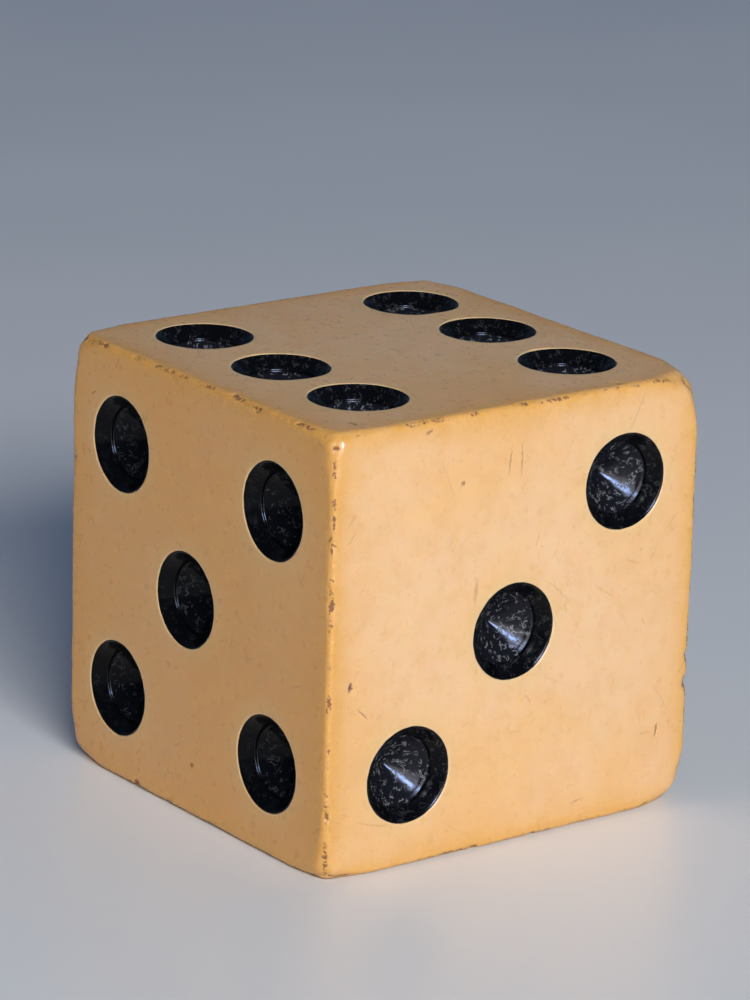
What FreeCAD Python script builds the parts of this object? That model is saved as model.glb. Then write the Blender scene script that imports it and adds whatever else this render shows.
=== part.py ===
import FreeCAD, Part
import os
import Sketcher

# A six-sided gaming die: one solid cube of cast resin with 21 drilled pips, each lined with its
# own film of black enamel. +Z is up, the origin is the centre of the face that it rests on.
# The six is on +Z, the one on -Z, the five on -Y, the two on +Y, the three on +X, the four on -X.

# Driving dimensions, in millimetres and degrees.
SIZES = {
    "side": 15.9,  # face to opposite face
    "edge_round": 0.25,  # radius along the twelve edges and round the worn corners
    "corner_trim": 0.6,  # how far tumbling took each corner back, along the body diagonal
    "rim_dia": 3.5,  # a pip's diameter at the face
    "sink_angle": 75,  # included angle of a pip's flared wall
    "sink_depth": 0.5,  # height of the flared wall
    "land": 0.08,  # straight wall between the flare and the drill point
    "point_angle": 105,  # included angle of the drill point that ends a pip
    "margin_share": 0.59,  # share of the room beside a row of three pips that lies at its two ends
    "film": 0.06,  # thickness of the enamel, square to the wall that it coats
    "set_back": 0.04,  # how far the enamel's edge lies under the face
}

# Each face has the direction that it faces, the direction that is right for someone who looks
# straight at it, and its pips. A pip is (name, column, row), in steps of one pitch.
LEFT, CENTRE, RIGHT = -1, 0, 1
BOTTOM, MIDDLE, TOP = -1, 0, 1
CORNERS = [
    ("top_left", LEFT, TOP),
    ("top_right", RIGHT, TOP),
    ("bottom_left", LEFT, BOTTOM),
    ("bottom_right", RIGHT, BOTTOM),
]
HUB = [("centre", CENTRE, MIDDLE)]
MIDDLES = [("top_centre", CENTRE, TOP), ("bottom_centre", CENTRE, BOTTOM)]
RISING = [("top_right", RIGHT, TOP), ("bottom_left", LEFT, BOTTOM)]
FACES = {
    "one": {"out": (0, 0, -1), "right": (1, 0, 0), "pips": HUB},
    "two": {"out": (0, 1, 0), "right": (-1, 0, 0), "pips": RISING},
    "three": {"out": (1, 0, 0), "right": (0, 1, 0), "pips": RISING + HUB},
    "four": {"out": (-1, 0, 0), "right": (0, -1, 0), "pips": CORNERS},
    "five": {"out": (0, -1, 0), "right": (1, 0, 0), "pips": CORNERS + HUB},
    "six": {"out": (0, 0, 1), "right": (1, 0, 0), "pips": CORNERS + MIDDLES},
}

# The pips are drilled by eye. These lie off their grid, by millimetres to the right and up.
DRIFT = {
    "three_pip_top_right": (0, -0.15),
    "three_pip_centre": (-0.1, -0.2),
    "three_pip_bottom_left": (0.15, 0),
    "five_pip_top_left": (-0.1, -0.1),
    "five_pip_top_right": (-0.1, -0.15),
    "five_pip_centre": (-0.6, -0.1),
    "five_pip_bottom_left": (-0.15, 0.05),
    "five_pip_bottom_right": (-0.15, 0),
    "six_pip_top_left": (-0.3, 0.2),
    "six_pip_top_centre": (-0.4, 0.25),
    "six_pip_top_right": (-0.2, 0.05),
    "six_pip_bottom_left": (-0.25, 0.25),
    "six_pip_bottom_centre": (-0.1, 0.2),
    "six_pip_bottom_right": (-0.2, 0.2),
}

# Sizes that follow from the driving ones, as expressions on the sheet's cells.
HALF = "Sizes.side / 2"
BALL = "(Sizes.side * sqrt(3) / 2 - Sizes.corner_trim)"
PITCH = "(Sizes.side - Sizes.margin_share * (Sizes.side - 3 * Sizes.rim_dia) - Sizes.rim_dia) / 2"
SINK_TAN = "tan(Sizes.sink_angle / 2 * 1 deg)"
SINK_COS = "cos(Sizes.sink_angle / 2 * 1 deg)"
POINT_TAN = "tan(Sizes.point_angle / 2 * 1 deg)"
POINT_SIN = "sin(Sizes.point_angle / 2 * 1 deg)"
POINT_HALF_TAN = "tan(Sizes.point_angle / 4 * 1 deg)"
SINK_HALF_TAN = "tan(Sizes.sink_angle / 4 * 1 deg)"
SHOULDER = f"(Sizes.rim_dia / 2 - Sizes.sink_depth * {SINK_TAN})"
SHOULDER_DEPTH = "(Sizes.sink_depth + Sizes.land)"


def make_sheet(doc):
    """The spreadsheet that holds the driving dimensions, one per row."""
    sheet = doc.addObject("Spreadsheet::Sheet", "Sizes")
    for row, (name, value) in enumerate(SIZES.items(), start=1):
        sheet.set(f"A{row}", name)
        sheet.set(f"B{row}", str(value))
        sheet.setAlias(f"B{row}", name)
    doc.recompute()
    return sheet


def origin_plane(body, role):
    """One of a body's own origin planes."""
    return next(plane for plane in body.Origin.OriginFeatures if plane.Role == role)


def new_sketch(body, name, role):
    """An empty sketch on one of the body's origin planes."""
    sketch = body.newObject("Sketcher::SketchObject", name)
    sketch.AttachmentSupport = [(origin_plane(body, role), "")]
    sketch.MapMode = "FlatFace"
    return sketch


def bind(sketch, kind, place, value, expression):
    """Adds a dimension to a sketch and binds it to an expression."""
    index = sketch.addConstraint(Sketcher.Constraint(kind, *place, value))
    sketch.setExpression(f"Constraints[{index}]", expression)


def evaluate(sheet, expression):
    """The number that an expression gives on the sheet as it stands."""
    return float(sheet.evalExpression(expression))


def closed_profile(sketch, sheet, corners):
    """A closed polygon whose corners lie at (x, y) expressions from the sketch's origin."""
    points = [FreeCAD.Vector(evaluate(sheet, x), evaluate(sheet, y), 0) for x, y in corners]
    for index, point in enumerate(points):
        sketch.addGeometry(Part.LineSegment(point, points[(index + 1) % len(points)]))
    for index, point in enumerate(points):
        sketch.addConstraint(
            Sketcher.Constraint("Coincident", index, 2, (index + 1) % len(points), 1)
        )
        x, y = corners[index]
        origin_to_corner = (-1, 1, index, 1)
        bind(sketch, "DistanceX", origin_to_corner, point.x, x)
        bind(sketch, "DistanceY", origin_to_corner, point.y, y)


def make_cube(doc, body):
    """The sharp cube, standing on its face one."""
    sketch = new_sketch(body, "cube_outline", "XY_Plane")
    minus = f"-{HALF}"
    square = [(minus, minus), (HALF, minus), (HALF, HALF), (minus, HALF)]
    closed_profile(sketch, doc.Sizes, square)
    pad = body.newObject("PartDesign::Pad", "cube")
    pad.Profile = sketch
    pad.setExpression("Length", "Sizes.side")
    doc.recompute()


def trim_corners(doc, body):
    """Takes the eight corners back to a ball about the cube's centre."""
    sheet = doc.Sizes
    sketch = new_sketch(body, "outside_the_ball", "XZ_Plane")
    ball = evaluate(sheet, BALL)
    centre = FreeCAD.Vector(0, evaluate(sheet, HALF), 0)
    top = centre + FreeCAD.Vector(0, ball, 0)
    side = centre + FreeCAD.Vector(ball, 0, 0)
    bottom = centre - FreeCAD.Vector(0, ball, 0)
    reach = 2 * ball
    outside = [
        bottom,
        FreeCAD.Vector(0, centre.y - reach, 0),
        FreeCAD.Vector(reach, centre.y - reach, 0),
        FreeCAD.Vector(reach, centre.y + reach, 0),
        FreeCAD.Vector(0, centre.y + reach, 0),
        top,
    ]
    arc = sketch.addGeometry(Part.Arc(bottom, side, top))
    for start, end in zip(outside, outside[1:]):
        sketch.addGeometry(Part.LineSegment(start, end))
    last = len(outside) - 1
    for index in range(1, last):
        sketch.addConstraint(Sketcher.Constraint("Coincident", index, 2, index + 1, 1))
    sketch.addConstraint(Sketcher.Constraint("Coincident", arc, 1, 1, 1))
    sketch.addConstraint(Sketcher.Constraint("Coincident", arc, 2, last, 2))
    for index in (1, last):
        sketch.addConstraint(Sketcher.Constraint("PointOnObject", index, 1, -2))
        sketch.addConstraint(Sketcher.Constraint("PointOnObject", index, 2, -2))
    for index in (2, 4):
        sketch.addConstraint(Sketcher.Constraint("Horizontal", index))
    sketch.addConstraint(Sketcher.Constraint("Vertical", 3))
    sketch.addConstraint(Sketcher.Constraint("PointOnObject", arc, 3, -2))
    bind(sketch, "DistanceY", (-1, 1, arc, 3), centre.y, HALF)
    bind(sketch, "Radius", (arc,), ball, BALL)
    bind(sketch, "DistanceX", (-1, 1, 3, 1), reach, f"2 * {BALL}")
    bind(sketch, "DistanceY", (-1, 1, 3, 1), centre.y - reach, f"{HALF} - 2 * {BALL}")
    bind(sketch, "DistanceY", (-1, 1, 3, 2), centre.y + reach, f"{HALF} + 2 * {BALL}")
    groove = body.newObject("PartDesign::Groove", "corner_trim")
    groove.Profile = sketch
    groove.ReferenceAxis = (sketch, ["V_Axis"])
    groove.Angle = 360
    doc.recompute()
    return groove


def round_edges(doc, body, base):
    """Rounds the cube's edges and the borders of the trimmed corners."""
    fillet = body.newObject("PartDesign::Fillet", "edge_round")
    fillet.Base = (base, [f"Edge{n}" for n in range(1, len(base.Shape.Edges) + 1)])
    fillet.setExpression("Radius", "Sizes.edge_round")
    doc.recompute()


def face_frame(face):
    """(out, right, up) of a face as vectors."""
    out = FreeCAD.Vector(*face["out"])
    right = FreeCAD.Vector(*face["right"])
    return out, right, out.cross(right)


def bind_place(thing, prefix, parts):
    """Binds a placement's three coordinates to expressions, leaving out those that stay zero."""
    for axis, expression in zip("xyz", parts):
        if expression:
            thing.setExpression(f"{prefix}.Base.{axis}", expression)


def along(direction, expression):
    """x, y and z expressions of a step of that length along a unit axis direction."""
    return [f"{int(c)} * {expression}" if abs(c) > 0.5 else "" for c in direction]


def join(*steps):
    """The sum of several steps, coordinate by coordinate."""
    return [" + ".join(part for part in parts if part) for parts in zip(*steps)]


def pip_label(face_name, pip):
    """The name of one pip."""
    return f"{face_name}_pip_{pip[0]}"


def pip_steps(label, pip):
    """A pip's steps to the right and up from its face's centre, as expressions."""
    drift = DRIFT.get(label, (0, 0))
    return [f"({steps} * {PITCH} + {stray})" for steps, stray in zip(pip[1:], drift)]


def drill_pips(doc, body, name, face):
    """Drills one face's pips: a flared rim, a short straight wall and a drill point."""
    out, right, up = face_frame(face)
    sketch = new_sketch(body, f"{name}_pips", "XY_Plane")
    turn = FreeCAD.Rotation(right, up, out, "ZXY")
    sketch.AttachmentOffset = FreeCAD.Placement(FreeCAD.Vector(), turn)
    centre = join(along(out, f"({HALF})"), ["", "", HALF])
    bind_place(sketch, "AttachmentOffset", centre)
    rim = evaluate(doc.Sizes, "Sizes.rim_dia")
    for index, pip in enumerate(face["pips"]):
        steps = pip_steps(pip_label(name, pip), pip)
        x, y = [evaluate(doc.Sizes, step) for step in steps]
        sketch.addGeometry(Part.Circle(FreeCAD.Vector(x, y, 0), FreeCAD.Vector(0, 0, 1), rim / 2))
        bind(sketch, "Diameter", (index,), rim, "Sizes.rim_dia")
        bind(sketch, "DistanceX", (-1, 1, index, 3), x, steps[0])
        bind(sketch, "DistanceY", (-1, 1, index, 3), y, steps[1])
    doc.recompute()
    hole = body.newObject("PartDesign::Hole", f"{name}_drilling")
    hole.Profile = sketch
    doc.recompute()
    hole.ThreadType = "None"
    hole.DepthType = "Dimension"
    hole.HoleCutType = "Countersink"
    hole.HoleCutCustomValues = True
    hole.DrillPoint = "Angled"
    hole.DrillForDepth = False
    hole.setExpression("Diameter", f"2 * {SHOULDER}")
    hole.setExpression("Depth", SHOULDER_DEPTH)
    hole.setExpression("DrillPointAngle", "Sizes.point_angle")
    hole.setExpression("HoleCutDiameter", "Sizes.rim_dia")
    hole.setExpression("HoleCutCountersinkAngle", "Sizes.sink_angle")
    doc.recompute()


def make_die_body(doc):
    """The resin cube with its 21 drilled pips."""
    body = doc.addObject("PartDesign::Body", "die_body")
    body.Label = "die_body"
    make_cube(doc, body)
    round_edges(doc, body, trim_corners(doc, body))
    for name, face in FACES.items():
        before = body.Shape.Volume
        drill_pips(doc, body, name, face)
        if not body.Shape.Volume < before:
            raise RuntimeError(f"drilling face {name} removed nothing")
    return body


def make_enamel(doc, face_name, face, pip):
    """One pip's film of enamel: it coats the whole drilled wall and stops just under the face."""
    label = pip_label(face_name, pip)
    body = doc.addObject("PartDesign::Body", label)
    body.Label = label
    sketch = new_sketch(body, f"{label}_section", "XZ_Plane")
    wall_top = f"(Sizes.rim_dia / 2 - Sizes.set_back * {SINK_TAN})"
    cup_wall = f"({SHOULDER} - Sizes.film)"
    closed_profile(
        sketch,
        doc.Sizes,
        [
            (wall_top, "-Sizes.set_back"),
            (SHOULDER, "-Sizes.sink_depth"),
            (SHOULDER, f"-{SHOULDER_DEPTH}"),
            ("0", f"-{SHOULDER_DEPTH} - {SHOULDER} / {POINT_TAN}"),
            ("0", f"-{SHOULDER_DEPTH} - {SHOULDER} / {POINT_TAN} + Sizes.film / {POINT_SIN}"),
            (cup_wall, f"-{SHOULDER_DEPTH} + Sizes.film * {POINT_HALF_TAN}"),
            (cup_wall, f"-Sizes.sink_depth + Sizes.film * {SINK_HALF_TAN}"),
            (f"{wall_top} - Sizes.film / {SINK_COS}", "-Sizes.set_back"),
        ],
    )
    film = body.newObject("PartDesign::Revolution", f"{label}_film")
    film.Profile = sketch
    film.ReferenceAxis = (sketch, ["V_Axis"])
    film.Angle = 360
    out, right, up = face_frame(face)
    body.Placement = FreeCAD.Placement(
        FreeCAD.Vector(), FreeCAD.Rotation(right, up, out, "ZXY")
    )
    to_right, to_top = pip_steps(label, pip)
    steps = [along(out, f"({HALF})"), along(right, to_right), along(up, to_top), ["", "", HALF]]
    bind_place(body, "Placement", join(*steps))
    doc.recompute()
    return body


def write_parts(doc, bodies):
    """Checks every object and writes one STEP file per sub-part."""
    for thing in doc.Objects:
        if "Invalid" in thing.State or "Error" in thing.State:
            raise RuntimeError(f"{thing.Name} did not build: {thing.State}")
    for body in bodies:
        if body.Shape.isNull() or not body.Shape.isValid():
            raise RuntimeError(f"{body.Label} has no valid shape")
    os.makedirs("parts", exist_ok=True)
    for body in bodies:
        body.Shape.exportStep(f"parts/{body.Label}.step")
        print(body.Label, round(body.Shape.Volume, 3), len(body.Shape.Solids))


def main():
    doc = FreeCAD.newDocument("die")
    make_sheet(doc)
    bodies = [make_die_body(doc)]
    for name, face in FACES.items():
        bodies += [make_enamel(doc, name, face, pip) for pip in face["pips"]]
    doc.recompute()
    write_parts(doc, bodies)


main()
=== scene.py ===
import math
import random
from itertools import product

import bpy
import numpy as np
from mathutils import Matrix, Vector, noise


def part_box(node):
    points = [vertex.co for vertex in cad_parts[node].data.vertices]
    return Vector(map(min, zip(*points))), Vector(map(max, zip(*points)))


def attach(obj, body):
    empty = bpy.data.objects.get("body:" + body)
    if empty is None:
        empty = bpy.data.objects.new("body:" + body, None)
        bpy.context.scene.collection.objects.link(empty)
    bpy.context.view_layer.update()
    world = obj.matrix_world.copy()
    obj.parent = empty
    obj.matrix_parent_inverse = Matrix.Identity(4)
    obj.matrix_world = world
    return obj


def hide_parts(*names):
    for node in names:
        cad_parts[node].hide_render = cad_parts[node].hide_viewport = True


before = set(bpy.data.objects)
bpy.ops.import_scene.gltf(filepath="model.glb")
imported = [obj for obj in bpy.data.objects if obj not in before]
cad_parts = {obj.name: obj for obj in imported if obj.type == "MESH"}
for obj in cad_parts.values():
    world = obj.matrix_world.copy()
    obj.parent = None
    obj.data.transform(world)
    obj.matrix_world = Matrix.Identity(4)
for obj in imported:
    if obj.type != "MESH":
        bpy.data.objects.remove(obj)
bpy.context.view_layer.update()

# Lengths are in millimetres until a mesh is made.
MM = 0.001

# Each face: the direction that it faces, and the direction that is right for someone who looks at it.
FACES = {
    "one": ((0, 0, -1), (1, 0, 0)),
    "two": ((0, 1, 0), (-1, 0, 0)),
    "three": ((1, 0, 0), (0, 1, 0)),
    "four": ((-1, 0, 0), (0, -1, 0)),
    "five": ((0, -1, 0), (1, 0, 0)),
    "six": ((0, 0, 1), (1, 0, 0)),
}

LOW, HIGH = (np.array(corner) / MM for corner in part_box("die_body"))
CENTRE = (LOW + HIGH) / 2
HALF = (HIGH[0] - LOW[0]) / 2

# A drilled pip, as the CAD has it: its radius at the face and at the shoulder, its flared wall's depth,
# the depth of the short straight wall below that, and the drill point. FILM is the enamel's thickness.
RIM = 1.75
SHOULDER = 1.366
SINK_DEPTH = 0.5
SHOULDER_DEPTH = 0.58
POINT_ANGLE = math.radians(105 / 2)
POINT_SLOPE = math.tan(POINT_ANGLE)
APEX_DEPTH = SHOULDER_DEPTH + SHOULDER / POINT_SLOPE
FILM = 0.06


def face_axes(face):
    """(out, right, up) of a face as arrays."""
    out, right = (np.array(v, float) for v in FACES[face])
    return out, right, np.cross(out, right)


def find_pips():
    """{node: (face, column, row)} of the 21 pips, with their places on the face."""
    pips = {}
    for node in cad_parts:
        face = node.split("_pip_")[0]
        if face in FACES:
            low, high = (np.array(corner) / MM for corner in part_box(node))
            _, right, up = face_axes(face)
            middle = (low + high) / 2 - CENTRE
            pips[node] = (face, float(middle @ right), float(middle @ up))
    return pips


PIPS = find_pips()

# The pips' grid, from a face whose pips all lie right on it.
PITCH = PIPS["four_pip_top_right"][1]


def smooth(values):
    """0 below 0, 1 above 1 and an S-curve between them."""
    clipped = np.clip(values, 0, 1)
    return clipped * clipped * (3 - 2 * clipped)


def noise_at(points, scale, shift=0.0):
    """Soft noise from about -1 to 1 at each point."""
    offset = Vector((shift, shift * 1.7, shift * 0.6))
    return np.array([noise.noise(Vector(p) * scale + offset) for p in points])


def to_cube(face, right_mm, up_mm, depth=0.0):
    """A place on a face as a point from the cube's centre."""
    out, right, up = face_axes(face)
    return out * (HALF - depth) + right * right_mm + up * up_mm


# ---------------------------------------------------------------- wear on the resin, with painted shade and glints by face

# The edges' radius, and how much it wavers.
EDGE_ROUND = 0.25
EDGE_WAVER = 0.05

# The radius of each worn corner, by the signs of its x, y and z from the cube's centre.
CORNER_ROUND = {
    (1, -1, 1): 0.6,
    (1, 1, 1): 1.1,
    (-1, -1, 1): 0.75,
    (-1, 1, 1): 0.95,
    (1, -1, -1): 0.7,
    (1, 1, -1): 1.0,
    (-1, -1, -1): 0.9,
    (-1, 1, -1): 0.85,
}
# How far a corner's roundness reaches along its edges.
CORNER_REACH = 2.3

# How far each face is painted browner, where it differs from the rest: painted shade, strongest on face five,
# which is turned away from the key light.
SHADED_FACES = {"five": 1.0, "four": 0.4, "one": 0.6}
# How far below a shaded face's plane the painted shade has faded away.
SHADE_REACH = 0.6

# How many grey flecks and how much dust the enamel of a face's pips has, where it differs from the rest:
# painted glints and shade, fewest on face five, whose pips the light does not reach.
GLINTS_BY_FACE = {"five": 0.25, "four": 0.6}

# The few chips that stand out: (face, right, up, radius, depth).
CHIPS = [
    ("three", -7.9, 7.5, 0.16, 0.05),
    ("three", -7.9, 5.0, 0.16, 0.05),
    ("three", -7.9, 2.0, 0.2, 0.07),
    ("three", -7.9, -5.5, 0.18, 0.06),
    ("three", -7.0, -1.0, 0.2, 0.06),
    ("three", 7.9, -3.5, 0.34, 0.10),
    ("three", 7.9, -2.5, 0.25, 0.08),
    ("six", 2.0, -7.8, 0.2, 0.06),
    ("five", 3.5, 7.8, 0.2, 0.06),
    ("five", -3.5, -7.8, 0.25, 0.07),
]

# The few scratches, specks and stains that stand out:
# (face, right, up, half length, half width, tilt in degrees, darkness).
MARKS = [
    ("three", -7.0, -1.0, 0.22, 0.08, 75, 1.0),
    ("three", -6.5, -2.0, 0.40, 0.04, -45, 0.6),
    ("three", -3.0, -4.0, 0.34, 0.05, -60, 0.6),
    ("three", 6.5, -5.0, 0.30, 0.06, 80, 0.8),
    ("three", -0.5, 6.0, 0.60, 0.05, 85, 0.5),
    ("three", 0.0, 6.0, 0.75, 0.04, 90, 0.5),
    ("three", -2.5, 5.5, 0.11, 0.08, 60, 0.75),
    ("three", -4.0, 7.5, 0.16, 0.08, 20, 0.7),
    ("three", -1.8, 1.5, 0.55, 0.10, 85, 0.35),
    ("three", 3.0, -7.0, 0.36, 0.03, 10, 0.4),
    ("six", 7.0, -6.5, 0.26, 0.09, 10, 0.8),
    ("five", 0.0, -6.0, 0.12, 0.10, 0, 0.8),
    ("five", -6.5, 6.0, 0.20, 0.05, 35, 0.6),
]

# The random nicks: how many an edge has, how far off it they stray, their radius, how much wider a
# few of them are, and their depth as a share of the radius.
NICKS_PER_EDGE = 15
NICK_STRAY = 0.12
NICK_RADIUS = 0.08
NICK_EXTRA = 0.12
NICK_DEPTH = (0.1, 0.3)
NICK_SEED = 11

# The random dents: how many a face has, how far from its middle they reach, their radius, and their
# depth as a share of the radius.
DENTS_PER_FACE = 8
DENT_REACH = 7.4
DENT_RADIUS = (0.10, 0.18)
DENT_DEPTH = (0.05, 0.12)
DENT_SEED = 5

# How far even wear takes in the faces, and the edges on top of that.
FACE_WEAR = 0.006
EDGE_WEAR = 0.012
# How ragged a chip's outline is, the depth from which it is full of dirt, and how far the dirt
# reaches, in radii of the chip.
CHIP_RAGGED = 0.35
DIRTY_DEPTH = 0.06
DIRT_REACH = 1.1


def corner_radius(points):
    """How round the cube is at points of its sharp form: the edges' radius, growing at corners."""
    radius = EDGE_ROUND + EDGE_WAVER * noise_at(points, 0.55, 4.0)
    for signs, worn in CORNER_ROUND.items():
        gap = np.linalg.norm(points - HALF * np.array(signs), axis=1)
        radius = radius + (worn - radius) * smooth(1 - gap / CORNER_REACH)
    return radius


def edge_nicks():
    """Small random nicks along the twelve edges: (centre, radius, depth)."""
    draw = random.Random(NICK_SEED)
    nicks = []
    for axis, first, second, _ in product(range(3), (-1, 1), (-1, 1), range(NICKS_PER_EDGE)):
        others = [i for i in range(3) if i != axis]
        centre = np.zeros(3)
        centre[axis] = draw.uniform(-HALF, HALF)
        centre[others[0]] = first * (HALF - abs(draw.gauss(0, NICK_STRAY)))
        centre[others[1]] = second * (HALF - abs(draw.gauss(0, NICK_STRAY)))
        radius = NICK_RADIUS + NICK_EXTRA * draw.random() ** 3
        nicks.append((centre, radius, radius * draw.uniform(*NICK_DEPTH)))
    return nicks


def face_dents():
    """Small random dents all over the faces: (centre, radius, depth)."""
    draw = random.Random(DENT_SEED)
    dents = []
    for face, _ in product(FACES, range(DENTS_PER_FACE)):
        right_mm = draw.uniform(-DENT_REACH, DENT_REACH)
        up_mm = draw.uniform(-DENT_REACH, DENT_REACH)
        radius = draw.uniform(*DENT_RADIUS)
        dents.append((to_cube(face, right_mm, up_mm), radius, radius * draw.uniform(*DENT_DEPTH)))
    return dents


def all_wear():
    """Every chip, nick and dent as (centre, radius, depth)."""
    chips = [(to_cube(face, a, b), radius, depth) for face, a, b, radius, depth in CHIPS]
    return chips + edge_nicks() + face_dents()


def round_off(sharp):
    """(points, normals) of the rounded cube for points of the sharp one."""
    radius = corner_radius(sharp)[:, None]
    core = np.clip(sharp, radius - HALF, HALF - radius)
    spread = sharp - core
    normals = spread / np.linalg.norm(spread, axis=1)[:, None]
    return core + radius * normals, normals


def wear_down(points, edge):
    """How far wear takes each point in, and how much dirt it holds."""
    rough = noise_at(points, 5.0, 2.0)
    loss = FACE_WEAR * (1 + noise_at(points, 0.35, 7.0))
    loss += edge * (EDGE_WEAR * (1 + noise_at(points, 1.3, 1.0)) + EDGE_WEAR * (1 + rough))
    dirt = np.zeros(len(points))
    for centre, radius, depth in all_wear():
        centre = round_off(centre[None])[0][0]
        gap = np.linalg.norm(points - centre, axis=1) / (radius * (1 + CHIP_RAGGED * rough))
        bowl = np.clip(1 - gap * gap, 0, 1)
        loss += depth * bowl
        dirt = np.maximum(dirt, smooth(DIRT_REACH - gap) * min(1.0, depth / DIRTY_DEPTH))
    return loss, dirt


# ---------------------------------------------------------------- the resin cube's mesh

# The mesh's steps across a pip's square cell and across the strip along an edge. A power above 1
# crowds the strip's steps towards the edge.
CELL_STEPS = 32
STRIP_STEPS = 9
STRIP_POWER = 1.35

# The rings from a cell's border (0) to just outside its pip's rim (1), and how far outside that is.
RING_SHARES = (0, 0.26, 0.5, 0.7, 0.85, 0.94, 1)
RIM_MARGIN = 0.03
# The rim's small bevel: (distance from the rim's radius, depth).
RIM_BEVEL = ((0.01, 0.004), (-0.004, 0.016), (-0.02, 0.045))
# How far a rim strays from a true circle, in slow and in quick waves.
SLOW_WAVE = 0.018
QUICK_WAVE = 0.012
# Points less deep than this belong to a face and its bevels, the others to a socket.
SKIN = 0.06
# Points nearer to a face's plane than this may be near its pips.
NEAR_FACE = 0.1

# Within HELD of a pip's centre the mesh moves with the pip, and less and less over the next LET_GO.
HELD = 1.1 * RIM
LET_GO = 1.35

# How far in from an edge the resin is worn, and how far in it has ambered; the amber is partly a painted glow
# through the translucent resin.
EDGE_WIDTH = 0.62
BORDER_WIDTH = 1.8

# Corners that lie in the same 1/2000 mm cell are one point.
CELLS_PER_MM = 2000

# How far apart the faces lie on the map that the scratches are drawn on.
MAP_STEP = 40
# Half of a face's width on its tile of the bake's map, which leaves a thin margin.
TILE_HALF = 0.49


def grid_place(node):
    """Where a pip would lie if it were drilled right on its grid."""
    return np.round(np.array(PIPS[node][1:]) / PITCH) * PITCH


def shift_to_pips(face, flat):
    """Moves places on a face with the pips that were drilled off their grid."""
    moved = flat.copy()
    for node, (pip_face, column, row) in PIPS.items():
        if pip_face == face:
            grid = grid_place(node)
            away = np.linalg.norm(flat - grid, axis=-1)
            hold = 1 - smooth((away - HELD) / LET_GO)
            moved += hold[..., None] * (np.array([column, row]) - grid)
    return moved


def grid_lines():
    """The mesh's lines across a face: close together along the edges, even between them."""
    inner = 1.5 * PITCH
    shares = (np.arange(STRIP_STEPS) / STRIP_STEPS) ** STRIP_POWER
    strip = HALF - (HALF - inner) * shares
    middle = np.linspace(-inner, inner, 3 * CELL_STEPS + 1)
    return np.concatenate([-strip, middle, strip[::-1]])


def cell_border(half):
    """The points round a square cell, counter-clockwise from its bottom right."""
    along = np.linspace(-half, half, CELL_STEPS + 1)[:-1]
    same = np.full(CELL_STEPS, half)
    sides = [(same, along), (-along, same), (-same, -along), (along, -same)]
    return np.concatenate([np.stack(side, 1) for side in sides])


def pip_seed(node):
    """A number of its own for each pip."""
    return 1 + sorted(PIPS).index(node)


def rim_wobble(node, angles):
    """How far a pip's rim strays from a true circle: a worn, hand-finished edge."""
    ring = np.stack([np.cos(angles), np.sin(angles), np.full_like(angles, 3.0 * pip_seed(node))], 1)
    return SLOW_WAVE * noise_at(ring, 1.7) + QUICK_WAVE * noise_at(ring, 6.0)


def pip_rings(node):
    """Rings of (right, up, depth) from a pip's square cell, over its rim and down to the apex."""
    border = cell_border(PITCH / 2)
    angles = -math.pi / 4 + 2 * math.pi * np.arange(len(border)) / len(border)
    circle = np.stack([np.cos(angles), np.sin(angles)], 1)
    wobble = rim_wobble(node, angles)[:, None]
    rings = []
    for share in RING_SHARES:
        flat = border + (circle * (RIM + RIM_MARGIN + wobble) - border) * share
        rings.append((flat, 0.0))
    for away, depth in RIM_BEVEL:
        rings.append((circle * (RIM + away + wobble), depth))
    for radius, depth in ((SHOULDER, SINK_DEPTH), (SHOULDER, SHOULDER_DEPTH), (0.0, APEX_DEPTH)):
        rings.append((circle * radius, depth))
    place = grid_place(node)
    return [np.column_stack([flat + place, np.full(len(flat), depth)]) for flat, depth in rings]


def ring_quads(rings):
    """The quads between neighbouring rings, each as four corners."""
    quads = []
    for outer, inner in zip(rings, rings[1:]):
        quads.append(np.stack([outer, np.roll(outer, -1, 0), np.roll(inner, -1, 0), inner], 1))
    return np.concatenate(quads)


def face_quads(face):
    """A face's quads, each as four corners of (right, up, depth)."""
    lines = grid_lines()
    here = [node for node, pip in PIPS.items() if pip[0] == face]
    grid = np.stack(np.meshgrid(lines, lines, indexing="ij"), -1)
    quads = np.stack([grid[:-1, :-1], grid[1:, :-1], grid[1:, 1:], grid[:-1, 1:]], 2).reshape(-1, 4, 2)
    middles = quads.mean(1)
    keep = np.ones(len(quads), bool)
    for node in here:
        keep &= np.abs(middles - grid_place(node)).max(1) > PITCH / 2
    flat = np.concatenate([quads[keep], np.zeros((keep.sum(), 4, 1))], 2)
    whole = np.concatenate([flat] + [ring_quads(pip_rings(node)) for node in here])
    whole[..., :2] = shift_to_pips(face, whole[..., :2])
    return whole


def sharp_cube():
    """The sharp cube's corners, four to a quad.

    Returns them in space, and as (right, up, depth, number of the face).
    """
    sharp = []
    local = []
    for number, face in enumerate(FACES):
        quads = face_quads(face)
        a, b, depth = (quads[..., i, None] for i in range(3))
        sharp.append(to_cube(face, a, b, depth))
        local.append(np.concatenate([quads, np.full_like(a, number)], -1))
    return np.concatenate(sharp).reshape(-1, 3), np.concatenate(local).reshape(-1, 4)


def laid_on_faces(points, on_face):
    """The points, with those that belong to a face laid right on its plane."""
    laid = points.copy()
    outermost = np.argmax(np.abs(points), 1)
    rows = np.arange(len(points))
    laid[rows[on_face], outermost[on_face]] = np.sign(points[rows, outermost])[on_face] * HALF
    return laid


def gaps_to_rims(points, on_face):
    """How far each point on a face lies from the nearest pip's rim. It is 0 in the sockets."""
    gaps = np.full(len(points), HALF)
    for face, column, row in PIPS.values():
        out, right, up = face_axes(face)
        near = points @ out > HALF - NEAR_FACE
        gap = np.hypot(points @ right - column, points @ up - row) - RIM
        gaps[near] = np.minimum(gaps[near], gap[near])
    gaps[~on_face] = 0
    return np.maximum(gaps, 0)


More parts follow.
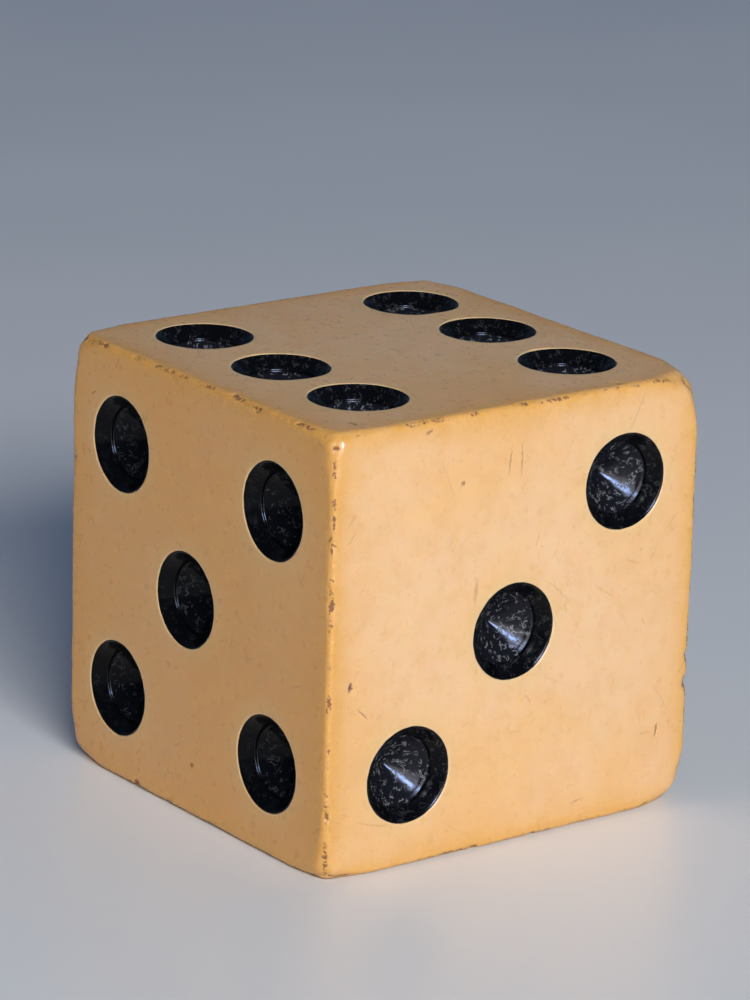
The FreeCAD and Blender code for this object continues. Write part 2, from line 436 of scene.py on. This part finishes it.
def painted_face_shade(points):
    """How much painted shade each point gets: its face's share, fading out round the edges."""
    face_shade = np.zeros(len(points))
    for face, amount in SHADED_FACES.items():
        out, _, _ = face_axes(face)
        face_shade = np.maximum(face_shade, amount * smooth(1 + (points @ out - HALF) / SHADE_REACH))
    return face_shade


def mesh_from(name, points, corners):
    """A smooth mesh from points in millimetres and rows of four indices.

    Returns it with the corners that it keeps. One that repeats the corner before it is dropped.
    """
    kept = corners != np.roll(corners, 1, axis=1)
    faces = [row[keep].tolist() for row, keep in zip(corners, kept)]
    mesh = bpy.data.meshes.new(name)
    mesh.from_pydata((points * MM).tolist(), [], faces)
    mesh.polygons.foreach_set("use_smooth", [True] * len(faces))
    return mesh, kept


def add_attribute(mesh, name, values):
    """A number at every vertex, for the material to read."""
    mesh.attributes.new(name, "FLOAT", "POINT").data.foreach_set("value", values)


def add_map(mesh, name, places):
    """A UV map with one place per face corner."""
    mesh.uv_layers.new(name=name).data.foreach_set("uv", np.asarray(places, float).ravel())


def new_piece(name, mesh, material, slot, *nodes):
    """An object that stands for CAD nodes and rides on the part's one body."""
    piece = bpy.data.objects.new(name, mesh)
    bpy.context.scene.collection.objects.link(piece)
    mesh.materials.append(material)
    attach(piece, "root")
    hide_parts(*nodes)
    return piece


def make_resin(material):
    """The cube with its rounded, nicked edges and its 21 sockets, as one closed mesh."""
    sharp, local = sharp_cube()
    keys = np.round(sharp * CELLS_PER_MM).astype(np.int64)
    _, first, inverse = np.unique(keys, axis=0, return_index=True, return_inverse=True)
    points = sharp[first]
    depth = local[first][:, 2]
    on_face = depth < SKIN

    surface = laid_on_faces(points, on_face)
    edge_gap = HALF - np.sort(np.abs(surface), 1)[:, 1]
    edge = np.exp(-((edge_gap / EDGE_WIDTH) ** 2)) * on_face
    border = np.exp(-edge_gap / BORDER_WIDTH) * on_face
    rounded, normals = round_off(surface[on_face])
    loss, dirt = wear_down(rounded, edge[on_face])
    placed = points.copy()
    placed[on_face] = rounded - normals * (loss + depth[on_face])[:, None]
    grime = np.zeros(len(points))
    grime[on_face] = dirt

    mesh, kept = mesh_from("resin", placed + CENTRE, inverse.reshape(-1, 4))
    add_attribute(mesh, "edge", edge)
    # Painted shade by face: face five, turned away from the key light, is painted browner.
    add_attribute(mesh, "face_shade", painted_face_shade(points))
    add_attribute(mesh, "border", border)
    add_attribute(mesh, "grime", grime)
    add_attribute(mesh, "rim_gap", gaps_to_rims(points, on_face))

    # On OFBake the faces are tiles, three to a row. On flat they keep their size in millimetres.
    a, b, _, number = local[kept.ravel()].T
    tile = TILE_HALF / HALF
    u = (number % 3 + 0.5 + a * tile) / 3
    v = (number // 3 + 0.5 + b * tile) / 2
    add_map(mesh, "OFBake", np.stack([u, v], 1))
    add_map(mesh, "flat", np.stack([a + MAP_STEP * number, b], 1))
    return new_piece("die_resin", mesh, material, "resin", "die_body")


# ---------------------------------------------------------------- the enamel in the pips

# The points round a film, and the rings down its cone.
PIP_STEPS = 96
CONE_STEPS = 13

# The film's own radius at the shoulder, and the depth of its drill point.
CUP = SHOULDER - FILM
CUP_APEX = APEX_DEPTH - FILM / math.sin(POINT_ANGLE)

# How far enamel has filled the tip of the drill point, and how deep its broad and fine wrinkles are.
POOLED = 0.02
BROAD_WRINKLE = 0.006
FINE_WRINKLE = 0.004

# How far the film's back stands off the socket: sideways, in depth and at the tip. The back's cone
# is split by a ring of this radius.
BACK_ASIDE = 0.008
BACK_ABOVE = 0.005
BACK_TIP = 0.01
BACK_RING = 0.6

# How far down, below the flared wall, the enamel turns from wall to drill point.
DRILLED_REACH = 0.12

# A film's open side and its back on the bake's map: (middle, width).
OPEN_DISC = (0.36, 0.7)
BACK_DISC = (0.86, 0.26)


def film_profile():
    """(radius, depth, share of the wrinkling) down the film's open side, from rim to drill point."""
    lip = [(RIM - 0.016, 0.036, 0.0), (RIM - 0.03, 0.024, 0.2), (RIM - 0.065, 0.038, 0.4)]
    wall = [(RIM - 0.10 - 0.06 * k, 0.075 + 0.073 * k, 0.6) for k in range(5)]
    ridge = [(CUP + 0.012, 0.44, 0.3), (CUP - 0.002, 0.462, 0.2), (CUP - 0.008, 0.485, 0.2)]
    crook = [(CUP - 0.01, 0.51, 0.2), (CUP - 0.02, 0.545, 0.3), (CUP - 0.04, 0.566, 0.3)]
    pool = [(CUP - 0.07, 0.583, 0.3), (CUP - 0.10, 0.602, 0.4), (CUP - 0.14, 0.645, 0.6)]
    start = CUP - 0.2
    radii = [start * (1 - k / CONE_STEPS) for k in range(CONE_STEPS)]
    cone = [(radius, CUP_APEX - radius / POINT_SLOPE, 1.0) for radius in radii]
    return lip + wall + ridge + crook + pool + cone


def ring_band(first, second):
    """The quads between two rings, which are given by the index of their first point."""
    loop = np.arange(PIP_STEPS)
    after = (loop + 1) % PIP_STEPS
    return np.stack([first + loop, first + after, second + after, second + loop], 1)


def ring_cap(ring, tip, flipped):
    """The triangles between a ring and a tip, as quads with a doubled last corner."""
    loop = np.arange(PIP_STEPS)
    after = (loop + 1) % PIP_STEPS
    start, end = (after, loop) if flipped else (loop, after)
    tips = np.full(PIP_STEPS, tip)
    return np.stack([ring + start, ring + end, tips, tips], 1)


def film_corners(tip):
    """The film's quads: its open side down to the point at index tip, then its back."""
    rings = [ring_band(ring, ring + PIP_STEPS) for ring in range(0, tip - PIP_STEPS, PIP_STEPS)]
    back, shoulder, wall = (tip + 1 + k * PIP_STEPS for k in range(3))
    bottom = wall + PIP_STEPS
    sides = [ring_band(back, shoulder), ring_band(shoulder, wall), ring_band(wall, 0)]
    return np.concatenate(
        rings + [ring_cap(tip - PIP_STEPS, tip, False)] + sides + [ring_cap(back, bottom, True)]
    )


def make_film(node, material):
    """One pip's film of brushed-in enamel: thick at the lip, wrinkled, pooled in the drill point."""
    face, column, row = PIPS[node]
    out, right, up = face_axes(face)
    seed = pip_seed(node)
    angles = 2 * math.pi * np.arange(PIP_STEPS) / PIP_STEPS
    spokes = np.cos(angles)[:, None] * right + np.sin(angles)[:, None] * up
    middle = out * HALF + right * column + up * row
    wobble = rim_wobble(node, angles)

    rings = []
    for radius, depth, relief in film_profile():
        ring = middle + spokes * (radius + wobble * (radius / RIM) ** 4)[:, None] - out * depth
        wrinkle = BROAD_WRINKLE * noise_at(ring, 1.6, seed) + FINE_WRINKLE * noise_at(ring, 5.0, seed + 9)
        rings.append(ring + out * (relief * wrinkle)[:, None])
    apex = [middle - out * (CUP_APEX - POOLED)]
    back = []
    deep = APEX_DEPTH - BACK_RING / POINT_SLOPE
    for radius, depth in ((BACK_RING, deep), (SHOULDER, SHOULDER_DEPTH), (SHOULDER, SINK_DEPTH)):
        back.append(middle + spokes * (radius - BACK_ASIDE) - out * (depth - BACK_ABOVE))
    bottom = [middle - out * (APEX_DEPTH - BACK_TIP)]
    points = np.concatenate(rings + [apex] + back + [bottom])

    tip = len(rings) * PIP_STEPS
    corners = film_corners(tip)
    mesh, kept = mesh_from(node + "_film", points + CENTRE, corners)
    drop = (middle - points) @ out
    add_attribute(mesh, "drilled", smooth((drop - SINK_DEPTH) / DRILLED_REACH))
    # Painted light by face: more grey flecks where the light rakes the pips, fewer on face five.
    add_attribute(mesh, "glint_share", np.full(len(points), GLINTS_BY_FACE.get(face, 1.0)))

    # On OFBake the open side is a large disc, and the back a small one beside it.
    flat = np.stack([(points - middle) @ right, (points - middle) @ up], 1) / (2 * RIM)
    hidden = np.arange(len(points)) > tip
    shown, concealed = (at + width * flat for at, width in (OPEN_DISC, BACK_DISC))
    places = np.where(hidden[:, None], concealed, shown)
    add_map(mesh, "OFBake", places[corners[kept]])
    return new_piece(node + "_enamel", mesh, material, "pip_enamel", node)


# ---------------------------------------------------------------- materials

RESIN = {
    "cream": (0.77, 0.50, 0.270),
    "butterscotch": (0.77, 0.47, 0.210),
    "amber_and_glow": (0.72, 0.385, 0.125),
    "brown": (0.66, 0.30, 0.038),
    "mottle": (0.66, 0.355, 0.13),
    "halo": (0.68, 0.47, 0.20),
    "rim": (0.80, 0.56, 0.32),
    "worn": (0.68, 0.36, 0.08),
    "scratch": (0.42, 0.20, 0.05),
    "pit": (0.26, 0.11, 0.03),
    "dirt": (0.17, 0.05, 0.005),
    "stain": (0.16, 0.05, 0.008),
}

ENAMEL = {
    "black": (0.001, 0.001, 0.0012),
    "dust_and_shade": (0.007, 0.0075, 0.011),
    "fleck": (0.17, 0.17, 0.18),
}

TABLE = (0.78, 0.80, 0.81)

# A whole turn, in radians.
FULL_TURN = 6.283


class Shader:
    """A material's node tree, with short calls that add and link nodes."""

    def __init__(self, name):
        self.material = bpy.data.materials.new(name)
        self.material.use_nodes = True
        self.tree = self.material.node_tree
        self.tree.nodes.clear()

    def add(self, kind, inputs=None, **settings):
        """A new node. An input is either a value or a socket to link."""
        node = self.tree.nodes.new("ShaderNode" + kind)
        for name, value in settings.items():
            setattr(node, name, value)
        for name, value in (inputs or {}).items():
            if isinstance(value, bpy.types.NodeSocket):
                self.tree.links.new(value, node.inputs[name])
            else:
                node.inputs[name].default_value = value
        return node

    def math(self, operation, first, second=0.0, clamp=False):
        """The result of one Math node."""
        node = self.add("Math", {0: first, 1: second}, operation=operation, use_clamp=clamp)
        return node.outputs[0]

    def vector(self, operation, first, second=(0, 0, 0), output=0):
        """The result of one Vector Math node."""
        return self.add("VectorMath", {0: first, 1: second}, operation=operation).outputs[output]

    def ramp(self, value, low, high, to_low=0.0, to_high=1.0):
        """An S-curve from to_low, at and below low, to to_high, at and above high."""
        inputs = {"Value": value, "From Min": low, "From Max": high, "To Min": to_low, "To Max": to_high}
        return self.add("MapRange", inputs, interpolation_type="SMOOTHSTEP").outputs[0]

    def noise(self, place, scale, detail=2.0, roughness=0.5, distortion=0.0):
        """Soft noise from 0 to 1."""
        inputs = {"Vector": place, "Scale": scale, "Detail": detail, "Roughness": roughness}
        inputs["Distortion"] = distortion
        return self.add("TexNoise", inputs).outputs["Fac"]

    def mix(self, share, first, second):
        """The first colour, with a share of the second."""
        node = self.add("Mix", {"Factor": share}, data_type="RGBA")
        for name, value in (("A_Color", first), ("B_Color", second)):
            socket = next(s for s in node.inputs if s.identifier == name)
            if isinstance(value, bpy.types.NodeSocket):
                self.tree.links.new(value, socket)
            else:
                socket.default_value = (*value, 1)
        return next(s for s in node.outputs if s.identifier == "Result_Color")

    def attribute(self, name):
        """A number that the mesh holds at every vertex."""
        return self.add("Attribute", attribute_name=name).outputs["Fac"]

    def millimetres(self):
        """The place on the object in millimetres."""
        place = self.add("TexCoord").outputs["Object"]
        return self.vector("MULTIPLY", place, (1 / MM, 1 / MM, 1 / MM))

    def strokes(self, place, scale, length, width, share, shift):
        """Short, slightly bent scratches: one in a share of a pattern's cells, each at its own angle."""
        spread = self.vector("MULTIPLY", place, (scale, scale, 0))
        moved = self.vector("ADD", spread, (shift, shift * 1.3, 0))
        cells = self.add("TexVoronoi", {"Vector": moved, "Scale": 1.0}, voronoi_dimensions="2D", feature="F1")
        centre = cells.outputs["Position"]
        local = self.vector("SUBTRACT", moved, centre)
        lot = self.add("TexWhiteNoise", {"Vector": centre}, noise_dimensions="2D")
        angle = self.math("MULTIPLY", lot.outputs["Value"], FULL_TURN)
        cosine = self.math("COSINE", angle)
        sine = self.math("SINE", angle)
        line = self.add("CombineXYZ", {"X": cosine, "Y": sine}).outputs[0]
        across_line = self.add("CombineXYZ", {"X": self.math("MULTIPLY", sine, -1.0), "Y": cosine}).outputs[0]
        along = self.math("ABSOLUTE", self.vector("DOT_PRODUCT", local, line, "Value"))
        bend = self.math("MULTIPLY", self.math("MULTIPLY", along, along), 0.25)
        across = self.vector("DOT_PRODUCT", local, across_line, "Value")
        across = self.math("ABSOLUTE", self.math("SUBTRACT", across, bend))
        reach = self.ramp(along, length * 0.35, length, 1.0, 0.0)
        thin = self.ramp(across, width * 0.3, width, 1.0, 0.0)
        lot_colour = self.add("SeparateColor", {"Color": lot.outputs["Color"]}).outputs[1]
        chosen = self.math("LESS_THAN", lot_colour, share)
        return self.math("MULTIPLY", self.math("MULTIPLY", reach, thin), chosen)

    def marks(self, flat, chosen):
        """Scratches, specks and stains at chosen places on the faces."""
        dark = 0.0
        for face, right, up, half_length, half_width, tilt, darkness in chosen:
            place = {
                "Vector": flat,
                "Location": (right + MAP_STEP * list(FACES).index(face), up, 0),
                "Rotation": (0, 0, math.radians(tilt)),
                "Scale": (half_length, half_width, 1),
            }
            local = self.add("Mapping", place, vector_type="TEXTURE").outputs[0]
            away = self.vector("LENGTH", local, output="Value")
            dark = self.math("MAXIMUM", self.ramp(away, 0.35, 1.15, darkness, 0.0), dark)
        return dark

    def pits(self, place, scale, radius, share):
        """Small round pits: one in a share of a pattern's cells."""
        cells = self.add("TexVoronoi", {"Vector": place, "Scale": scale}, feature="F1")
        dot = self.ramp(cells.outputs["Distance"], radius * 0.4, radius, 1.0, 0.0)
        lot = self.add("SeparateColor", {"Color": cells.outputs["Color"]}).outputs[0]
        return self.math("MULTIPLY", dot, self.math("LESS_THAN", lot, share))

    def finish(self, shader_node):
        """Sends a shader to the output. Returns the material."""
        output = self.add("OutputMaterial")
        self.tree.links.new(shader_node.outputs[0], output.inputs["Surface"])
        return self.material


def resin_material():
    """Aged cast resin: cream to butterscotch, ambered along the edges with a partly painted glow, grimy in
    its nicks, and with painted shade on some faces.
    """
    s = Shader("aged_resin")
    place = s.millimetres()
    flat = s.add("UVMap", uv_map="flat").outputs[0]
    edge = s.attribute("edge")
    grime = s.attribute("grime")
    rim_gap = s.attribute("rim_gap")
    border = s.attribute("border")
    face_shade = s.attribute("face_shade")

    clouds = s.noise(place, 0.16, 3.0, 0.55, 0.5)
    mottle = s.noise(place, 1.3, 5.0, 0.65, 0.3)
    grain = s.noise(place, 9.0, 3.0, 0.6)

    # The aged colour: cloudy, ambered towards the edges, partly as a painted glow through the translucent
    # resin, browned by painted shade on some faces, and mottled.
    colour = s.mix(s.ramp(clouds, 0.36, 0.64), RESIN["cream"], RESIN["butterscotch"])
    # Painted glow: the amber towards the edges stands partly for light through the translucent resin, partly
    # for ageing.
    amber_and_glow = s.math("MULTIPLY", border, s.ramp(clouds, 0.3, 0.7, 0.45, 0.85))
    colour = s.mix(amber_and_glow, colour, RESIN["amber_and_glow"])
    # Painted shade: the faces turned away from the key light are painted browner.
    colour = s.mix(s.math("MULTIPLY", face_shade, 0.55), colour, RESIN["brown"])
    colour = s.mix(s.ramp(mottle, 0.40, 0.72, 0.0, 0.38), colour, RESIN["mottle"])

    # A soft halo round each pip, a thin pale line at its rim, and the worn edges, whose amber band is partly
    # a painted glow through the translucent resin.
    halo = s.math("MULTIPLY", s.ramp(rim_gap, 0.12, 0.8, 0.30, 0.0), s.ramp(mottle, 0.2, 0.6, 0.5, 1.0))
    colour = s.mix(halo, colour, RESIN["halo"])
    colour = s.mix(s.ramp(rim_gap, 0.03, 0.10, 0.35, 0.0), colour, RESIN["rim"])
    # Painted glow: the edge's amber band is partly light through the translucent resin, partly wear.
    worn = s.math("MULTIPLY", edge, s.ramp(mottle, 0.3, 0.7, 0.55, 1.0))
    colour = s.mix(worn, colour, RESIN["worn"])

    # Scratches and pits, at random and at the chosen places, with ragged outlines.
    warp = s.add("TexNoise", {"Vector": place, "Scale": 7.0, "Detail": 2.0}).outputs["Color"]
    warp = s.vector("MULTIPLY", s.vector("SUBTRACT", warp, (0.5, 0.5, 0.5)), (0.16, 0.16, 0))
    ragged = s.vector("ADD", flat, warp)
    fine = s.strokes(ragged, scale=0.9, length=0.30, width=0.05, share=0.25, shift=3.0)
    short = s.strokes(ragged, scale=1.7, length=0.20, width=0.06, share=0.16, shift=11.0)
    long = s.strokes(ragged, scale=0.35, length=0.34, width=0.016, share=0.35, shift=23.0)
    scratches = s.math("MAXIMUM", s.math("MAXIMUM", fine, short), long)
    patchy = s.ramp(s.noise(place, 0.55, 2.0), 0.42, 0.64, 0.15, 0.7)
    scratches = s.math("MULTIPLY", scratches, patchy)
    few_pits = s.pits(place, scale=1.5, radius=0.055, share=0.25)
    pits = s.math("MAXIMUM", few_pits, s.pits(place, scale=4.0, radius=0.09, share=0.06))
    chosen = s.marks(ragged, MARKS)

    # Dirt in the nicks and in the fine cracks that run along the edges.
    crack = s.math("MULTIPLY", s.ramp(edge, 0.90, 0.99), s.ramp(s.noise(place, 1.0, 3.0), 0.47, 0.60))
    edge_dirt = s.math("ADD", grime, s.math("MULTIPLY", s.math("MULTIPLY", edge, edge), 0.35))
    edge_dirt = s.math("ADD", edge_dirt, s.math("MULTIPLY", crack, 0.45))
    dirt = s.ramp(s.math("SUBTRACT", edge_dirt, s.ramp(grain, 0.32, 0.72)), 0.22, 0.55)

    colour = s.mix(s.math("MULTIPLY", scratches, 0.45), colour, RESIN["scratch"])
    colour = s.mix(s.math("MULTIPLY", pits, 0.5), colour, RESIN["pit"])
    colour = s.mix(s.math("MULTIPLY", dirt, 0.85), colour, RESIN["dirt"])
    colour = s.mix(s.math("MULTIPLY", chosen, 0.9), colour, RESIN["stain"])

    # Polished by handling, and dull where it is dirty or scratched.
    roughness = s.ramp(s.noise(place, 2.0, 4.0, 0.65), 0.3, 0.7, 0.26, 0.36)
    dull = s.math("MAXIMUM", s.math("MAXIMUM", dirt, chosen), s.math("MULTIPLY", scratches, 0.3))
    roughness = s.math("ADD", roughness, s.math("MULTIPLY", dull, 0.5), clamp=True)

    cuts = s.math("ADD", s.math("MULTIPLY", scratches, 0.5), pits)
    cuts = s.math("ADD", cuts, s.math("ADD", s.math("MULTIPLY", dirt, 0.6), chosen))
    rough_edge = s.math("MULTIPLY", s.math("MULTIPLY", edge, s.noise(place, 3.2, 3.0, 0.6)), 2.4)
    height = s.math("SUBTRACT", s.math("ADD", s.math("MULTIPLY", grain, 0.10), rough_edge), cuts)
    bump = s.add("Bump", {"Height": height, "Strength": 0.9, "Distance": 0.02 * MM})

    inputs = {
        "Base Color": colour,
        "Roughness": roughness,
        "Normal": bump.outputs[0],
        "IOR": 1.55,
        "Subsurface Weight": 0.3,
        "Subsurface Radius": (1.0, 0.42, 0.14),
        "Subsurface Scale": 0.5 * MM,
    }
    return s.finish(s.add("BsdfPrincipled", inputs))


def enamel_material():
    """Black enamel, brushed on by hand: glossy, with dust and grey flecks in the drill point that are partly
    painted glints, their share by face following the light.
    """
    s = Shader("black_enamel")
    place = s.millimetres()
    drilled = s.attribute("drilled")

    # Worm-like grey flecks, in patches, mostly in the drill point and more on some faces than on others:
    # partly specks in the paint, partly painted glints, and fewer on face five as painted shade.
    vein = s.math("ABSOLUTE", s.math("SUBTRACT", s.noise(place, 3.0, 2.0, 0.5, 1.6), 0.5))
    worms = s.ramp(vein, 0.015, 0.06, 1.0, 0.0)
    where = s.ramp(s.noise(place, 3.8, 3.0), 0.49, 0.59)
    amount = s.math("MULTIPLY", s.attribute("glint_share"), s.ramp(drilled, 0.0, 1.0, 0.15, 1.0))
    glint_flecks = s.math("MULTIPLY", s.math("MULTIPLY", worms, where), amount)
    # Painted: the dust and grey flecks stand partly for glints, and their share by face for light and shade.
    colour = s.mix(amount, ENAMEL["black"], ENAMEL["dust_and_shade"])
    colour = s.mix(s.math("MULTIPLY", glint_flecks, 0.85), colour, ENAMEL["fleck"])

    roughness = s.ramp(s.noise(place, 4.0, 3.0, 0.6), 0.35, 0.7, 0.15, 0.24)
    roughness = s.math("ADD", roughness, s.math("MULTIPLY", glint_flecks, 0.15), clamp=True)
    lumps = s.noise(place, 3.0, 2.0, 0.5)
    height = s.math("ADD", s.math("MULTIPLY", lumps, 0.5), s.math("MULTIPLY", glint_flecks, 0.25))
    bump = s.add("Bump", {"Height": height, "Strength": 0.7, "Distance": 0.03 * MM})

    inputs = {
        "Base Color": colour,
        "Roughness": roughness,
        "Normal": bump.outputs[0],
        "IOR": 1.5,
        "Specular IOR Level": 0.13,
    }
    return s.finish(s.add("BsdfPrincipled", inputs))


def table_material():
    """A plain pale table top with a faint sheen."""
    s = Shader("pale_table")
    place = s.millimetres()
    roughness = s.ramp(s.noise(place, 0.05, 3.0), 0.3, 0.7, 0.30, 0.38)
    inputs = {"Base Color": (*TABLE, 1), "Roughness": roughness, "IOR": 1.45}
    return s.finish(s.add("BsdfPrincipled", inputs))


# ---------------------------------------------------------------- floor, light and camera

# From here on, lengths are in metres.
DIE_CENTRE = Vector(CENTRE) * MM
SIDE = 2 * HALF * MM

FLOOR_REACH = 4.0

# Each lamp: (name, direction from the die, distance, size, watts, colour, rays that don't see it).
LAMPS = [
    ("key", (0.84, -0.31, 0.45), 0.42, (0.22, 0.09), 1.88, (1.0, 0.985, 0.97), "glossy"),
    ("window", (0.85, -0.27, 0.48), 0.42, (0.07, 0.10), 3.0, (0.36, 0.52, 1.0), "diffuse"),
    ("panel", (0.85, -0.34, 0.36), 0.42, (0.20, 0.30), 1.6, (1.0, 0.97, 0.94), "diffuse"),
    ("fill", (-0.25, -1.0, 0.35), 0.6, (0.5, 0.3), 0.18, (1.0, 0.45, 0.08), "glossy"),
]
SKY = (0.34, 0.55, 0.94)
SKY_STRENGTH = 0.175

# Where the camera is, in degrees, and how far from its aim. Its distance and the aim's place, right
# of the die's centre and above it, are in sides of the die.
AZIMUTH, ELEVATION, ROLL = 53.11, 16.81, 1.64
DISTANCE = 10.925
AIM_RIGHT, AIM_UP = -0.0086, 0.1473
LENS = 175.6


def make_floor():
    """The plain table that the die stands on."""
    points = [(x * FLOOR_REACH, y * FLOOR_REACH, 0) for x, y in ((-1, -1), (1, -1), (1, 1), (-1, 1))]
    mesh = bpy.data.meshes.new("floor")
    mesh.from_pydata(points, [], [(0, 1, 2, 3)])
    mesh.materials.append(table_material())
    floor = bpy.data.objects.new("floor", mesh)
    bpy.context.scene.collection.objects.link(floor)


def make_lamp(name, direction, distance, size, watts, colour, hidden_from):
    """A soft rectangular lamp that points at the die."""
    lamp = bpy.data.lights.new(name, "AREA")
    lamp.shape = "RECTANGLE"
    lamp.size, lamp.size_y = size
    lamp.energy = watts
    lamp.color = colour
    light = bpy.data.objects.new(name, lamp)
    bpy.context.scene.collection.objects.link(light)
    towards = Vector(direction).normalized()
    light.location = DIE_CENTRE + towards * distance
    light.rotation_euler = towards.to_track_quat("Z", "Y").to_euler()
    setattr(light, "visible_" + hidden_from, False)


def make_lights():
    """A soft key from the right, a cool window and a panel that only glint, a warm fill and the sky."""
    for lamp in LAMPS:
        make_lamp(*lamp)
    world = bpy.data.worlds.new("studio")
    world.use_nodes = True
    background = world.node_tree.nodes["Background"]
    background.inputs["Color"].default_value = (*SKY, 1)
    background.inputs["Strength"].default_value = SKY_STRENGTH
    bpy.context.scene.world = world


def make_camera():
    """A long lens a little above the die, over its front edge, with a slight roll."""
    azimuth, elevation, roll = (math.radians(angle) for angle in (AZIMUTH, ELEVATION, ROLL))
    back = Vector((math.sin(azimuth), -math.cos(azimuth), 0)) * math.cos(elevation)
    back.z = math.sin(elevation)
    level = Vector((math.cos(azimuth), math.sin(azimuth), 0))
    upright = back.cross(level)
    right = level * math.cos(roll) + upright * math.sin(roll)
    up = upright * math.cos(roll) - level * math.sin(roll)
    aim = DIE_CENTRE + right * (AIM_RIGHT * SIDE) + up * (AIM_UP * SIDE)
    lens = bpy.data.cameras.new("camera")
    lens.sensor_width = 36
    lens.lens = LENS
    lens.clip_start = 0.01
    camera = bpy.data.objects.new("camera", lens)
    bpy.context.scene.collection.objects.link(camera)
    turn = Matrix((right, up, back)).transposed().to_4x4()
    camera.matrix_world = Matrix.Translation(aim + back * (DISTANCE * SIDE)) @ turn
    bpy.context.scene.camera = camera


def main():
    """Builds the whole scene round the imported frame."""
    make_camera()
    make_floor()
    make_lights()
    bpy.context.scene.view_settings.view_transform = "Standard"
    make_resin(resin_material())
    enamel = enamel_material()
    for node in sorted(PIPS):
        make_film(node, enamel)


main()
